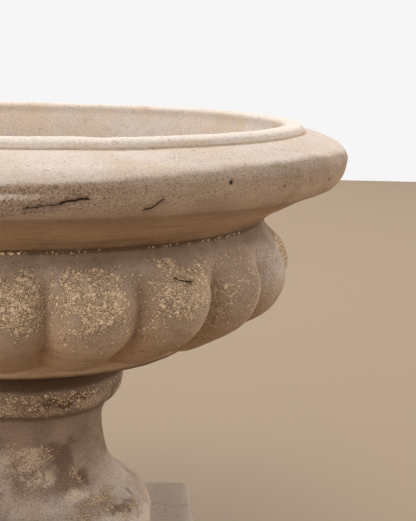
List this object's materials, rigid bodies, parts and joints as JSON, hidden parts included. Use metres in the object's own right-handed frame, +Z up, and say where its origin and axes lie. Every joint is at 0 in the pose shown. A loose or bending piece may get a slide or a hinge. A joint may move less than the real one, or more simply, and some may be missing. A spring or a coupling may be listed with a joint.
{
  "type": "urn planter",
  "caption": "Low garden urn with a wide rolled rim, gadrooned bowl, turned pedestal and square plinth, in weathered cast stone, with a lift-out drain plug.",
  "frame": {"origin": "centre of the foot pads' undersides, on the urn's axis and on the floor", "axes": "+Z is up along the urn's axis, X and Y lie along the sides of the plinth, and -Y faces the front"},
  "size_m": [0.508, 0.5078, 0.4064],
  "materials": {
    "bowl_stone": "weathered cast stone, cream on top and taupe below, with ochre flakes",
    "pedestal_stone": "weathered cast stone, taupe with red-brown patches and ochre crackle",
    "plinth_stone": "weathered cast stone, grey-taupe",
    "pad_rubber": "matt black",
    "gasket_rubber": "matt black",
    "plug_rubber": "matt dark grey",
    "zinc_steel": "zinc plated"
  },
  "bodies": {
    "urn": {"bowl": "bowl_stone", "pedestal": "pedestal_stone", "plinth": "plinth_stone", "foot_pads": "pad_rubber", "bowl_gasket": "gasket_rubber", "plinth_gasket": "gasket_rubber", "tie_rod": "zinc_steel", "upper_nut": "zinc_steel", "upper_washer": "zinc_steel", "seal_washer": "gasket_rubber", "lower_washer": "zinc_steel", "lower_nut": "zinc_steel"},
    "plug": {"drain_plug": "plug_rubber"}
  },
  "joints": [
    {"name": "plug_lift", "type": "slide", "parent": "urn", "child": "plug", "axis": [0, 0, 1], "range_m": [0, 0.19]}
  ]
}
